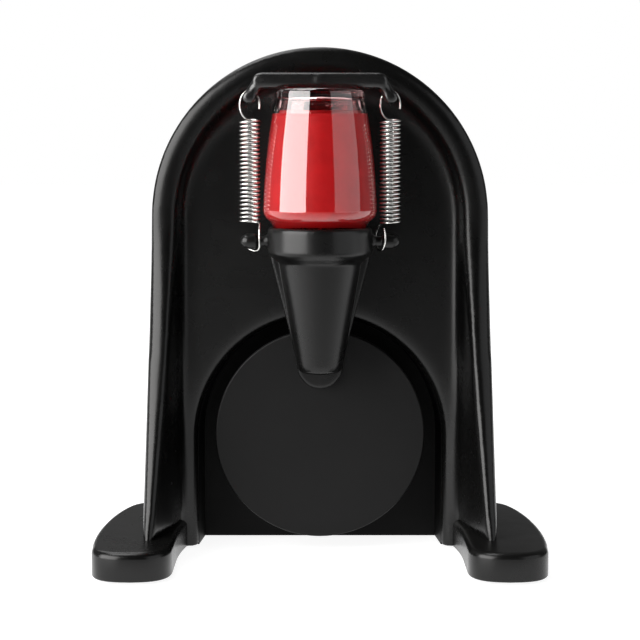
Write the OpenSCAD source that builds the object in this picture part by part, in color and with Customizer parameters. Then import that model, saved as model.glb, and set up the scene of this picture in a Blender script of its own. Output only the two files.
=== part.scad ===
// Nail polish shaker: an arch-shaped housing with a niche, a shaking head that carries
// an upside-down bottle in a holder, and a sprung bail that presses the bottle down.
// The origin is under the middle of the machine, on the surface that it stands on.
// X runs to the right, Y to the back and Z up. All sizes are in millimetres.

/* [Housing] */
// Depth of the arch from its rim to the rear cover
arch_d = 40; // [38:0.5:60]
// Height of the top of the arch above the table
height = 163; // [158:1:175]
// Radius of the outer arch
arch_r = 54; // [53:0.5:56]
// How far each side leans out between the spring line and the feet
leg_flare = 1.5; // [0.5:0.1:3]
// Distance from the front of the feet back to the rim of the arch
rim_set = 45; // [42:0.5:48]
// Width of the rim round the arch
rim_w = 7.8; // [6.5:0.1:9]
// Depth of the panel behind the rim
panel_set = 4.5; // [3:0.1:6]
// Radius of the cove between the rim and the panel
cove_r = 1.6; // [1:0.1:1.6]
// Lean of the cove wall from straight forward, in degrees
cove_lean = 12; // [8:0.5:14]
// Lean of the front edge of the legs, in degrees
leg_lean = 18; // [15:0.5:20]
// Thickness of the housing walls
wall = 2.8; // [2.4:0.1:3.2]

/* [Niche] */
// Radius of the niche at its mouth
niche_r = 39.8; // [39:0.1:41]
// How much the niche narrows towards its back wall
niche_draft = 1.2; // [0.5:0.1:2]
// Depth of the niche behind the panel
niche_d = 17.5; // [17:0.5:19]
// Radius of the rounded niche edge
niche_edge = 3.6; // [2:0.1:3.6]
// Thickness of the panel
skin_t = 3.9; // [3.7:0.1:4.2]

/* [Feet] */
// Half of the width across the feet at the front
foot_half = 70; // [68:0.5:74]
// Distance from the middle to the inner side of each foot
foot_in = 45.3; // [45:0.1:46]
// Thickness of the feet
foot_t = 9; // [8:0.5:11]
// Radius of the outer front corner of the feet
foot_round = 10; // [6:0.5:11]
// Radius of the inner front corner of the feet
foot_nose = 7; // [4:0.5:8]
// Length over which the inner side of the feet curves in to the niche
foot_bow = 22; // [12:1:26]
// Radius of the rear corner of the feet
foot_tail = 16; // [12:0.5:18]
// How far the outer side of the feet bows out
foot_bulge = 2.4; // [0:0.1:3]
// Diameter of the rubber pads under the feet
pad_d = 13; // [10:0.5:14]
// How far the pads stand out under the feet
pad_out = 1; // [0.6:0.1:1.6]
// How deep the pads sit in the feet
pad_in = 1.5; // [1:0.1:2]

/* [Drive] */
// Throw of the cranks, half of the shaking stroke
throw = 2; // [1.2:0.1:2.4]
// Diameter of the disc
disc_d = 67.6; // [64:0.2:68]
// Thickness of the disc
disc_t = 3; // [2.4:0.1:3]
// Height of the disc centre with the cranks pointing up
disc_z = 38.8; // [38.5:0.1:40]
// Diameter of the carrier's plate
carrier_d = 58; // [56:0.5:60]
// Sideways distance from the crank to each idler
idler_x = 18; // [16:0.5:20]
// Distance of the idlers below the crank
idler_drop = 12; // [10:0.5:13]
// Diameter of the crank shaft and its pin
crank_d = 5; // [4:0.1:5.5]
// Diameter of the idler shafts and their pins
idler_d = 4; // [3:0.1:4.4]
// Radial running clearance of pins and shafts
run_fit = 0.05; // [0.03:0.01:0.1]
// Gear module
gear_m = 0.8; // [0.7:0.05:0.8]
// Number of teeth of the crank gear
crank_teeth = 62; // [56:2:62]
// Number of teeth of the middle gear
mid_teeth = 32; // [28:4:32]
// Number of teeth of the pinion
pinion_teeth = 14; // [14:2:16]
// Width of the crank gear
gear_w = 4; // [3:0.2:4.4]
// Diameter of the motor
motor_d = 24; // [20:0.5:24]
// Length of the motor
motor_l = 17.5; // [14:0.5:17.5]

/* [Holder] */
// Outer diameter of the collar
collar_d = 32.2; // [31:0.1:33]
// Height of the top of the collar
collar_z = 106.7; // [104:0.1:108]
// Height of the collar's straight side
collar_h = 8; // [6:0.1:9]
// Outer diameter at the top of the socket
socket_top_d = 25.4; // [24:0.1:26]
// Outer diameter at the bottom of the socket
socket_end_d = 14.4; // [14:0.1:16]
// Height of the socket's lower end
socket_z = 62.4; // [60:0.2:64]
// Wall of the socket
socket_wall = 1.6; // [1.2:0.1:1.8]
// Thickness of the tongue plate
tongue_t = 3; // [2.6:0.1:3.4]
// Width of the tongue plate at the collar
tongue_w = 31.6; // [28:0.2:32]
// Distance from the front of the disc to the axis of the bottle
reach = 18; // [17.6:0.1:19]
// Diameter of the ear necks
ear_neck_d = 3.2; // [2.6:0.1:3.4]
// Diameter of the ear knobs
ear_knob_d = 4.8; // [4.2:0.1:5]
// Distance between the outer ends of the ears
ear_span = 49.6; // [49:0.1:51]

/* [Bottle] */
// Largest diameter of the bottle
bottle_d = 35.4; // [34:0.1:35.6]
// Diameter of the bottle's base
bottle_base_d = 27.2; // [25:0.1:29]
// Height of the bottle above the collar
bottle_up = 42.6; // [40:0.1:42.8]
// Thickness of the bottle's side wall
glass_t = 1.8; // [1.4:0.1:2.2]
// Thickness of the bottle's base
glass_base_t = 2.7; // [2:0.1:4]
// Depth of the air gap over the polish
air_gap = 4.3; // [2:0.1:6]

/* [Bail and springs] */
// Thickness of the bail's bar
bail_t = 4.3; // [3.8:0.1:4.6]
// Length of the bail's straight bar
bail_w = 37; // [35:0.2:38]
// Sideways distance from the middle to each spring
spring_x = 21.8; // [21.8:0.05:22.2]
// Outer diameter of the springs
spring_d = 6.7; // [6:0.1:6.7]
// Diameter of the spring wire
wire_d = 0.6; // [0.5:0.02:0.66]
// Number of whole curls in each spring
curls = 25; // [20:1:26]
// Space between two curls
curl_gap = 0.68; // [0.6:0.02:0.7]

/* [Rear] */
// Thickness of the rear cover
cover_t = 2.5; // [2:0.1:3]
// Length of a battery cell
cell_l = 50.5; // [49:0.1:51]
// Diameter of a battery cell
cell_d = 14.2; // [13.5:0.1:14.5]
// Distance from the top of the arch to the middle of the battery compartment
cell_drop = 35; // [33:0.5:37]
// Width of the power switch
switch_w = 15; // [12:0.5:18]
// Height of the power switch
switch_h = 10.6; // [9:0.2:12]
// Tilt of the rocker to each side, in degrees
rocker_tilt = 8; // [5:0.5:10]

/* [Hidden] */
$fn = 64;
eps = 0.02;

// Housing planes
tab_t = 0.8;
screw_head_t = 1.1;
proud = tab_t + screw_head_t;
depth = rim_set + arch_d;
front_y = -(depth + proud) / 2;
back_y = front_y + depth;
rim_y = front_y + rim_set;
panel_y = rim_y + panel_set;
skin_y = panel_y + skin_t;
foot_z0 = pad_out;
foot_z1 = foot_z0 + foot_t;
arch_z = height - arch_r;
cell_z = height - cell_drop;
cavity_r = arch_r - wall;
cover_y = back_y - cover_t;
lip_r = arch_r - wall / 2;
pocket_r = arch_r - rim_w;
niche_y = panel_y + niche_d;
niche_wall = 3;
plate_y = niche_y + niche_wall;
shell_r = niche_r + wall;

// Drive planes and centres
crank_z = disc_z - throw;
disc_y = panel_y - 2.5;
carrier_y = disc_y + disc_t;
carrier_t = 3;
peg_x = 22;
peg_up = 10;
peg_d = 4;
boss_y = carrier_y + 8;
web_y = boss_y + 1;
web_t = 5;
flange_t = 1;
idler_z = crank_z - idler_drop;
idler_pin_z = idler_z + throw;
gear_y = plate_y + 3;
crank_pitch = gear_m * crank_teeth / 2;
mid_pitch = gear_m * mid_teeth / 2;
pinion_pitch = gear_m * pinion_teeth / 2;
mid_z = crank_z + crank_pitch + mid_pitch;
motor_z = mid_z + mid_pitch + pinion_pitch;
motor_y1 = plate_y + 1;
motor_y0 = motor_y1 - motor_l;
motor_plate_t = 1.5;
motor_shaft_d = 2;
clip_t = 0.6;

// Head
bottle_y = disc_y - reach;
tongue_y = disc_y - tongue_t;
ear_z = collar_z - collar_h / 2 - 0.4;
seat_r = 14.2;
throat_r = 9.8;
seat_drop = 2.6;
base_z = collar_z + bottle_up;
head_screw_z = [57.6, 66.4];
head_screw_bite = [tongue_t - 0.7, tongue_t + 5.5];
head_screw_d = 2.9;
neck_in = 12;
brush_d = 2.4;
brush_l = 29;

// Springs and bail
coil_r = (spring_d - wire_d) / 2;
curl_pitch = wire_d + curl_gap;
coil_z0 = collar_z + 1.2;
loop_gap = 0.35;
loop_low = ear_z - ear_neck_d / 2 - loop_gap - wire_d / 2;
bail_z = base_z + 0.4 + bail_t / 2;
stub_d = 2.8;
stub_z = bail_z - 5;
loop_high = stub_z + stub_d / 2 + loop_gap + wire_d / 2;

// Cover fixings as pairs of X and Z
screw_ring = arch_r - 5.6;
cover_hole = 12;
cover_points = [[0, arch_z + screw_ring],
  [screw_ring * cos(22), arch_z + screw_ring * sin(22)],
  [-screw_ring * cos(22), arch_z + screw_ring * sin(22)],
  [arch_r - 4.4, foot_z0 + wall + 3], [-arch_r + 4.4, foot_z0 + wall + 3]];
pad_points = [[57.8, front_y + 11], [-57.8, front_y + 11],
  [arch_r - 7, back_y - 9.5], [-arch_r + 7, back_y - 9.5]];
switch_x = 31;
switch_z = 88;

// Extrudes a shape drawn in X and Z between two Y planes
module between(y0, y1) {
  translate([0, y1, 0])
    rotate([90, 0, 0])
      linear_extrude(y1 - y0)
        children();
}

// Revolves a shape of radius and minus Y about an axis along Y
module about_y(x, z) {
  translate([x, 0, z])
    rotate([90, 0, 0])
      rotate_extrude($fn = 128)
        children();
}

// A round bar along Y
module rod_y(x, z, y0, y1, d) {
  translate([x, y1, z])
    rotate([90, 0, 0])
      cylinder(d = d, h = y1 - y0);
}

// A round bar along X
module rod_x(y, z, x0, x1, d) {
  translate([x0, y, z])
    rotate([0, 90, 0])
      cylinder(d = d, h = x1 - x0);
}

// Arch with straight legs that flare to the table, in X and Z
module arch_2d(r, z0, flare) {
  translate([0, arch_z])
    circle(r, $fn = 160);
  polygon([[-r, arch_z], [r, arch_z], [r + flare, z0], [-r - flare, z0]]);
}

// ---------- Housing ----------

// Void in front of the panel, as radius and Y, with its cove
module pocket_profile() {
  c = [pocket_r - cove_r - panel_set * tan(cove_lean), panel_y - cove_r];
  t = [c[0] + cove_r * cos(cove_lean), c[1] + cove_r * sin(cove_lean)];
  far = front_y - 1;
  polygon([[0, panel_y], [c[0], panel_y], c, t,
    [t[0] + (t[1] - far) * tan(cove_lean), far], [0, far]]);
  translate(c)
    circle(cove_r);
}

// Void of the niche, as radius and Y, with its rounded edge
module niche_profile() {
  polygon([[0, niche_y], [niche_r - niche_draft, niche_y],
    [niche_r, panel_y + niche_edge], [niche_r, panel_y - 0.5], [0, panel_y - 0.5]]);
  difference() {
    translate([niche_r - eps, panel_y])
      square([niche_edge + eps, niche_edge]);
    translate([niche_r + niche_edge, panel_y + niche_edge])
      circle(niche_edge);
  }
}

// A void swept round an arch and straight down from its ends
module arch_sweep(z, low) {
  translate([0, 0, z])
    rotate([90, 0, 0])
      rotate_extrude($fn = 160)
        scale([1, -1])
          children();
  for (side = [0, 1])
    mirror([side, 0, 0])
      translate([0, 0, low])
        linear_extrude(z - low)
          children();
}

// Side view of the front of the housing in Y and Z: upright at the arch, then the legs
// bend and lean forward to the feet
module side_profile() {
  bend = 70;
  low = arch_z - bend * sin(leg_lean);
  fwd = rim_y - bend * (1 - cos(leg_lean));
  polygon(concat([[skin_y + 0.5, height + 1], [rim_y, height + 1]],
    arc([rim_y - bend, arch_z], bend, 0, -leg_lean, 12),
    [[fwd - (low - foot_z1) * tan(leg_lean), foot_z1], [skin_y + 0.5, foot_z1]]));
}

// Outline of the right foot in X and Y
module foot_2d() {
  a = foot_half - foot_round;
  b = front_y + foot_round;
  n = front_y + foot_nose;
  tail = [foot_half - 3 - foot_tail, back_y - 4 - foot_tail];
  mouth = niche_r + niche_edge;
  polygon(concat([[mouth, back_y - 6], [mouth, panel_y]],
    [for (k = [1 : 6]) [foot_in - (foot_in - mouth) * pow(1 - k / 6, 2), panel_y - foot_bow * k / 6]],
    [[foot_in, n], [foot_in + foot_nose, n], [foot_in + foot_nose, front_y], [a, front_y],
    [a, b]],
    [for (t = [0 : 0.1 : 1]) [foot_half - t * (foot_half - tail[0] - foot_tail) + foot_bulge * pow(sin(180 * t), 2),
      b + t * (tail[1] - b)]],
    [tail, [tail[0], tail[1] + foot_tail]]));
  translate([foot_in + foot_nose, n])
    circle(foot_nose);
  translate([a, b])
    circle(foot_round);
  translate(tail)
    circle(foot_tail);
}

// Front view of the housing
module body_2d() {
  arch_2d(arch_r, foot_z0, leg_flare * (1 - foot_z0 / arch_z));
}

// Front of the housing: rim, legs and the panel with its arched opening
module housing() {
  color("#1c1c1e")
  difference() {
    union() {
      intersection() {
        between(front_y - 1, skin_y)
          body_2d();
        translate([-70, 0, 0])
          rotate([90, 0, 90])
            linear_extrude(140)
              side_profile();
      }
      between(panel_y, skin_y)
        intersection() {
          body_2d();
          translate([-70, 0])
            square([140, foot_z1 + 1]);
        }
    }
    intersection() {
      arch_sweep(arch_z, foot_z1)
        pocket_profile();
      translate([-60, front_y - 2, foot_z1])
        cube([120, panel_y - front_y + 2, 200]);
    }
    arch_sweep(crank_z, -1)
      niche_profile();
  }
}

module cover_boss(p) {
  rod_y(p[0], p[1], skin_y, cover_y, 7);
}

// Wall round the back of the housing, with the bosses for the rear cover
module shell() {
  color("#1c1c1e")
  difference() {
    union() {
      difference() {
        between(skin_y, back_y)
          body_2d();
        between(skin_y - 1, back_y + 1)
          arch_2d(cavity_r, foot_z0 + wall, leg_flare);
      }
      for (p = cover_points)
        cover_boss(p);
    }
    between(skin_y - 1, plate_y)
      translate([-shell_r, -1])
        square([2 * shell_r, foot_z0 + wall + 2]);
    between(cover_y, back_y + 1)
      arch_2d(lip_r, foot_z0 + wall / 2, leg_flare);
    for (p = cover_points)
      rod_y(p[0], p[1], cover_y - cover_hole, cover_y + 1, 2.5);
    pad_holes();
  }
}

// Wall of the niche with its back, which carries the bushes, the motor and the gear pin
module drive_frame() {
  color("#1c1c1e")
  difference() {
    union() {
      between(skin_y, plate_y) {
        intersection() {
          translate([0, crank_z])
            circle(shell_r, $fn = 128);
          translate([-shell_r, crank_z - 1])
            square([2 * shell_r, shell_r + 2]);
        }
        translate([-shell_r, foot_z0])
          square([2 * shell_r, crank_z - foot_z0]);
      }
      // Ring that holds the motor, and posts for its plate
      rod_y(0, motor_z, skin_y, motor_y0 + 8, motor_d + 5);
      between(skin_y, motor_y0 + 8)
        translate([-17, motor_z - 2.5])
          square([34, 5]);
      for (side = [-1, 1])
        rod_y(side * 17, motor_z, skin_y, motor_y1, 6);
      rod_y(0, mid_z, niche_y + 1, gear_y - 0.5, 8);
    }
    arch_sweep(crank_z, -1)
      niche_profile();
    rod_y(0, motor_z, motor_y0 - 0.05, motor_y1 + 30, motor_d + 0.4);
    for (side = [-1, 1])
      rod_y(side * 17, motor_z, motor_y1 - 8, motor_y1 + 1, 2);
    rod_y(0, mid_z, niche_y + 1.6, gear_y + 1, 3);
    rod_y(0, crank_z, niche_y - 1, plate_y + 1, crank_d + 3);
    for (side = [-1, 1])
      rod_y(side * idler_x, idler_z, niche_y - 1, plate_y + 1, idler_d + 2.4);
  }
}

module foot() {
  color("#1c1c1e")
  difference() {
    translate([0, 0, foot_z0])
      linear_extrude(foot_t)
        foot_2d();
    between(panel_y, back_y + 1)
      body_2d();
    pad_holes();
  }
}

module foot_left() {
  mirror([1, 0, 0])
    foot();
}

module foot_right() {
  foot();
}

module pad_holes() {
  for (p = pad_points)
    translate([p[0], p[1], -1])
      cylinder(d = pad_d, h = foot_z0 + pad_in + 1);
}

module foot_pads() {
  color("#202020")
  for (p = pad_points)
    translate([p[0], p[1], 0])
      cylinder(d = pad_d, h = foot_z0 + pad_in);
}

// ---------- Rear cover, cells and switch ----------

door_w = cell_l + 9;
door_h = 2 * cell_d + 5;

module rear_cover() {
  color("#202022")
  difference() {
    union() {
      between(cover_y, back_y)
        arch_2d(lip_r - 0.15, foot_z0 + wall / 2 + 0.15, leg_flare);
      // Rim of the switch opening inside the cover
      translate([switch_x - switch_w / 2 - 1.5, cover_y - 2, switch_z - switch_h / 2 - 1.5])
        cube([switch_w + 3, 2 + eps, switch_h + 3]);
    }
    translate([-door_w / 2, cover_y - 1, cell_z - door_h / 2])
      cube([door_w, cover_t + 2, door_h]);
    translate([switch_x - switch_w / 2, cover_y - 3, switch_z - switch_h / 2])
      cube([switch_w, cover_t + 4, switch_h]);
    for (p = cover_points) {
      rod_y(p[0], p[1], cover_y - 1, back_y + 1, 3.3);
      rod_y(p[0], p[1], back_y - 1.3, back_y + 1, 6.2);
    }
    translate([-6.3, back_y - 1.1, cell_z - door_h / 2 - 8.3])
      cube([12.6, 3, 9]);
    rod_y(0, cell_z - door_h / 2 - 4.4, cover_y - 1, back_y + 1, 2.1);
  }
}

module screw_y(x, z, head_y, head_d, d, l) {
  difference() {
    rod_y(x, z, head_y, head_y + screw_head_t, head_d);
    translate([x - head_d / 2 + 0.9, head_y + 0.5, z - 0.35])
      cube([head_d - 1.8, 1, 0.7]);
    translate([x - 0.35, head_y + 0.5, z - head_d / 2 + 0.9])
      cube([0.7, 1, head_d - 1.8]);
  }
  rod_y(x, z, head_y - l, head_y + eps, d);
}

module cover_screws() {
  color("#8c8c90")
  for (p = cover_points)
    screw_y(p[0], p[1], back_y - 1.3, 5.6, 2.5, 9);
}

module battery_tray() {
  color("#161616")
  difference() {
    translate([-door_w / 2 - 2, cover_y - cell_d - 3, cell_z - door_h / 2 - 2])
      cube([door_w + 4, cell_d + 3 - 0.1, door_h + 4]);
    translate([-door_w / 2, cover_y - cell_d - 1.5, cell_z - door_h / 2])
      cube([door_w, cell_d + 3, door_h]);
  }
}

module cells() {
  color("#b08d3c")
  for (side = [-1, 1])
    rod_x(cover_y - cell_d / 2 - 1, cell_z + side * (cell_d / 2 + 0.8),
      -cell_l / 2, cell_l / 2, cell_d);
}

module contacts() {
  color("#c8c8cc")
  for (side = [-1, 1])
    for (end = [-1, 1])
      translate([end * (cell_l / 2 + 0.3), cover_y - cell_d / 2 - 1, cell_z + side * (cell_d / 2 + 0.8)])
        rotate([0, end * 90, 0]) {
          cylinder(d1 = 5, d2 = 9, h = 3.2);
          translate([-5, -5, 3.2 - eps])
            cube([10, 10, door_w / 2 - cell_l / 2 - 3.5]);
        }
}

module battery_door() {
  color("#242426")
  difference() {
    union() {
      translate([-door_w / 2 + 0.3, cover_y + 0.5, cell_z - door_h / 2 + 0.3])
        cube([door_w - 0.6, cover_t - 0.5, door_h - 0.6]);
      // Tab for the screw
      translate([-6, back_y - 1, cell_z - door_h / 2 - 8])
        cube([12, 1 + tab_t, 9]);
    }
    rod_y(0, cell_z - door_h / 2 - 4.4, cover_y - 1, back_y + 3, 2.6);
    // Finger ribs
    for (k = [-2 : 2])
      translate([-9, back_y - 0.6, cell_z + 9 + k * 2 - 0.5])
        cube([18, 2, 1]);
  }
}

module door_screw() {
  color("#8c8c90")
  screw_y(0, cell_z - door_h / 2 - 4.4, back_y + tab_t, 4.6, 2.1, 7);
}

module switch_body() {
  color("#151515")
  difference() {
    union() {
      translate([switch_x - switch_w / 2 + 0.1, cover_y - 11, switch_z - switch_h / 2 + 0.1])
        cube([switch_w - 0.2, 11 + cover_t, switch_h - 0.2]);
      translate([switch_x - switch_w / 2 - 1.2, back_y, switch_z - switch_h / 2 - 1.2])
        cube([switch_w + 2.4, 1, switch_h + 2.4]);
    }
    translate([switch_x - switch_w / 2 + 1.2, cover_y - 4, switch_z - switch_h / 2 + 1])
      cube([switch_w - 2.4, 20, switch_h - 2]);
    translate([switch_x, back_y - 2, switch_z - switch_h / 2 + 0.4])
      cylinder(d = 1.6 + 2 * run_fit, h = switch_h - 0.8);
  }
}

rocker_y = back_y - 2;
rocker_half = switch_h / 2 - 1.3;

module rocker() {
  color("#a01818")
  translate([switch_x, rocker_y, switch_z])
    rotate([0, 0, rocker_tilt]) {
      difference() {
        union() {
          translate([-switch_w / 2 + 1.8, -0.6, -rocker_half])
            cube([switch_w - 3.6, 3.2, 2 * rocker_half]);
          translate([0, 0, -rocker_half])
            cylinder(d = 3.6, h = 2 * rocker_half);
        }
        translate([0, 32, -switch_h])
          cylinder(d = 60, h = 2 * switch_h, $fn = 120);
      }
      translate([0, 0, -rocker_half - 0.8])
        cylinder(d = 1.6, h = 2 * rocker_half + 1.6);
    }
}

// ---------- Motor and gears ----------

module motor() {
  color("#9a9ca0")
  difference() {
    union() {
      rod_y(0, motor_z, motor_y0, motor_y1, motor_d);
      rod_y(0, motor_z, motor_y1 - eps, motor_y1 + 1.2, 6);
    }
    rod_y(0, motor_z, motor_y0 + 2, motor_y1 + 3, motor_shaft_d + 2 * run_fit);
  }
}

module motor_plate() {
  color("#b4b6ba")
  between(motor_y1, motor_y1 + motor_plate_t)
    difference() {
      union() {
        translate([0, motor_z])
          circle(d = motor_d - 1);
        translate([-17, motor_z - 4])
          square([34, 8]);
        for (side = [-1, 1])
          translate([side * 17, motor_z])
            circle(4);
      }
      translate([0, motor_z])
        circle(3.1);
      for (side = [-1, 1])
        translate([side * 17, motor_z])
          circle(1.4);
    }
}

module plate_screws() {
  color("#8c8c90")
  for (side = [-1, 1])
    screw_y(side * 17, motor_z, motor_y1 + motor_plate_t, 4.4, 2, 7);
}

function inv(a) = tan(a) * 180 / PI - a;

// Half of a tooth's angle at radius r
function half_tooth(teeth, r, rb, thin) =
  90 / teeth - thin + inv(20) - (r > rb ? inv(acos(rb / r)) : 0);

// Points of a spur gear's outline with a tooth on +X
function gear_points(teeth) =
  let (rp = gear_m * teeth / 2, rb = rp * cos(20), thin = 0.06 * 180 / PI / rp,
    root = rp - 1.15 * gear_m, tip = rp + 0.85 * gear_m,
    rs = [root, max(rb, root + 0.05), (max(rb, root + 0.05) + rp) / 2 + 0.1, tip])
  [for (k = [0 : teeth - 1], j = [0 : 7])
    let (r = rs[j < 4 ? j : 7 - j], h = half_tooth(teeth, r, rb, thin),
      a = 360 * k / teeth + (j < 4 ? -h : h))
    r * [cos(a), sin(a)]];

module gear_y_axis(x, z, y0, y1, teeth, turn) {
  translate([x, y1, z])
    rotate([90, 0, 0])
      linear_extrude(y1 - y0)
        rotate(turn)
          polygon(gear_points(teeth));
}

module motor_shaft() {
  color("#d0d0d4")
  rod_y(0, motor_z, motor_y0 + 3, gear_y + gear_w + 0.8, motor_shaft_d);
}

module pinion() {
  color("#c9a24a")
  difference() {
    gear_y_axis(0, motor_z, gear_y - 0.4, gear_y + gear_w + 0.6, pinion_teeth, -90);
    rod_y(0, motor_z, gear_y - 2, gear_y + gear_w + 2, motor_shaft_d);
  }
}

module middle_gear() {
  color("#e8e4d8")
  difference() {
    union() {
      gear_y_axis(0, mid_z, gear_y, gear_y + gear_w, mid_teeth, 90 + 180 / mid_teeth);
      rod_y(0, mid_z, gear_y + gear_w - eps, gear_y + gear_w + 0.4, 7);
    }
    rod_y(0, mid_z, gear_y - 1, gear_y + gear_w + 2, 3 + 2 * run_fit);
    difference() {
      rod_y(0, mid_z, gear_y + gear_w - 1, gear_y + gear_w + 1, 2 * mid_pitch - 5);
      rod_y(0, mid_z, gear_y - 1, gear_y + gear_w + 2, 7);
    }
  }
}

module gear_pin() {
  color("#d0d0d4") {
    rod_y(0, mid_z, niche_y + 1.7, gear_y + gear_w + 1, 3);
    rod_y(0, mid_z, gear_y + gear_w + 0.5, gear_y + gear_w + 1.1, 5.4);
  }
}

module bush(x, z, d, t) {
  difference() {
    union() {
      rod_y(x, z, niche_y, plate_y + 0.6, d + t);
      rod_y(x, z, niche_y - flange_t, niche_y, d + t + 2.6);
    }
    rod_y(x, z, niche_y - 3, plate_y + 3, d + 2 * run_fit);
  }
}

module bushes() {
  color("#b08850") {
    bush(0, crank_z, crank_d, 3);
    for (side = [-1, 1])
      bush(side * idler_x, idler_z, idler_d, 2.4);
  }
}

module crank() {
  color("#a8aaae") {
    rod_y(0, crank_z, web_y + 1, gear_y + gear_w + 0.4, crank_d);
    rod_y(0, crank_z + throw, boss_y - 6.4, web_y + 1, crank_d);
    rod_y(0, crank_z, web_y, web_y + web_t, 14);
    rod_y(0, crank_z, web_y + web_t - eps, niche_y - flange_t - 0.15, 8);
  }
}

module counterweight() {
  color("#6e6e72")
  between(web_y + 0.5, web_y + web_t - 0.5)
    difference() {
      translate([0, crank_z])
        circle(13.5);
      translate([-20, crank_z - 2])
        square([40, 30]);
      translate([0, crank_z])
        circle(7.05);
    }
}

module crank_gear() {
  color("#e8e4d8")
  difference() {
    union() {
      gear_y_axis(0, crank_z, gear_y, gear_y + gear_w, crank_teeth, 90);
      rod_y(0, crank_z, gear_y - 1.6, gear_y + gear_w, 10);
    }
    rod_y(0, crank_z, gear_y - 3, gear_y + gear_w + 2, crank_d);
    for (k = [0 : 5])
      rotate_about(0, crank_z, 60 * k + 30)
        rod_y(14.6, crank_z, gear_y - 1, gear_y + gear_w + 1, 9);
  }
}

module rotate_about(x, z, a) {
  translate([x, 0, z])
    rotate([0, a, 0])
      translate([-x, 0, -z])
        children();
}

module idler(side) {
  x = side * idler_x;
  color("#a8aaae") {
    rod_y(x, idler_z, web_y + 1, plate_y + 2.2, idler_d);
    rod_y(x, idler_pin_z, boss_y - 6.4, web_y + 1, idler_d);
    rod_y(x, idler_z, web_y, web_y + web_t, 11);
    rod_y(x, idler_z, web_y + web_t - eps, niche_y - flange_t - 0.15, 7);
  }
}

module idler_left() {
  idler(-1);
}

module idler_right() {
  idler(1);
}

// Clips that keep the idler shafts in place
module clip(x, z, y, d) {
  between(y, y + clip_t)
    difference() {
      translate([x, z])
        circle(d / 2 + 1.6);
      translate([x, z])
        circle(d / 2);
    }
}

module clip_left() {
  color("#3c3c40")
  clip(-idler_x, idler_z, plate_y + 0.85, idler_d);
}

module clip_right() {
  color("#3c3c40")
  clip(idler_x, idler_z, plate_y + 0.85, idler_d);
}

// ---------- Shaking head ----------

module carrier() {
  color("#2a2a2c")
  difference() {
    union() {
      rod_y(0, disc_z, carrier_y, carrier_y + carrier_t, carrier_d);
      rod_y(0, disc_z, carrier_y, boss_y, crank_d + 6);
      for (side = [-1, 1]) {
        rod_y(side * idler_x, idler_pin_z, carrier_y, boss_y, idler_d + 5);
        // Ribs between the bosses
        between(carrier_y, boss_y - 2)
          polygon([[side * 3, disc_z + 1], [side * 4, disc_z - 3],
            [side * (idler_x - 2), idler_pin_z - 1.5], [side * (idler_x - 1), idler_pin_z + 2]]);
      }
    }
    rod_y(0, disc_z, boss_y - 7, boss_y + 1, crank_d + 2 * run_fit);
    for (side = [-1, 1]) {
      rod_y(side * idler_x, idler_pin_z, boss_y - 7, boss_y + 1, idler_d + 2 * run_fit);
      rod_y(side * peg_x, disc_z + peg_up, carrier_y - 1, carrier_y + 2, peg_d);
    }
    for (z = head_screw_z)
      rod_y(0, z, carrier_y - 1, carrier_y + carrier_t + 1, 3.2);
  }
}

module disc() {
  color("#1e1e20")
  difference() {
    union() {
      about_y(0, disc_z) {
        translate([0, -disc_y - disc_t])
          square([disc_d / 2 - 0.5, disc_t]);
        translate([0, -disc_y - disc_t])
          square([disc_d / 2, disc_t - 0.5]);
        translate([disc_d / 2 - 0.5, -disc_y - 0.5])
          circle(0.5, $fn = 24);
      }
      for (side = [-1, 1])
        rod_y(side * peg_x, disc_z + peg_up, disc_y + 1, carrier_y + 1.8, peg_d);
    }
    for (z = head_screw_z)
      rod_y(0, z, disc_y - 1, carrier_y + 1, 3.2);
  }
}

module socket_solid() {
  translate([0, bottle_y, 0])
    rotate_extrude($fn = 96)
      polygon([[0, socket_z - 1.4], [socket_end_d / 2 - 2.2, socket_z - 1.4],
        [socket_end_d / 2 - 0.6, socket_z - 0.6],
        [socket_end_d / 2, socket_z + 1], [socket_top_d / 2, collar_z - collar_h - 3],
        [collar_d / 2 - 1, collar_z - collar_h - 1.2], [collar_d / 2, collar_z - collar_h],
        [collar_d / 2, collar_z - 0.6], [collar_d / 2 - 0.6, collar_z], [0, collar_z]]);
}

module socket_void() {
  w = socket_wall;
  translate([0, bottle_y, 0])
    rotate_extrude($fn = 96)
      polygon([[0, socket_z + w], [socket_end_d / 2 - w, socket_z + w + 0.4],
        [socket_top_d / 2 - w - 1, collar_z - collar_h - 3], [throat_r, collar_z - seat_drop],
        [seat_r, collar_z - 0.3], [seat_r + 0.4, collar_z], [seat_r + 0.4, collar_z + 1],
        [0, collar_z + 1]]);
}

module ear(side) {
  translate([0, bottle_y, ear_z])
    rotate([0, side * 90, 0]) {
      translate([0, 0, seat_r])
        cylinder(d = ear_neck_d, h = ear_span / 2 - seat_r - 3);
      translate([0, 0, collar_d / 2 - 0.6])
        cylinder(d1 = ear_knob_d + 0.6, d2 = ear_neck_d, h = 1.7);
      translate([0, 0, ear_span / 2 - ear_knob_d / 2])
        sphere(d = ear_knob_d, $fn = 32);
      translate([0, 0, ear_span / 2 - 5])
        cylinder(d = ear_knob_d, h = 5 - ear_knob_d / 2);
    }
}

module tongue_2d() {
  tip_r = 7.3;
  top = collar_z - collar_h - 0.4;
  polygon([[-tongue_w / 2, top], [tongue_w / 2, top], [tongue_w / 2 - 0.2, top - 3],
    [9, 69], [tip_r, 61.3], [-tip_r, 61.3], [-9, 69], [-tongue_w / 2 + 0.2, top - 3]]);
  translate([0, 61.3])
    circle(tip_r);
}

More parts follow.
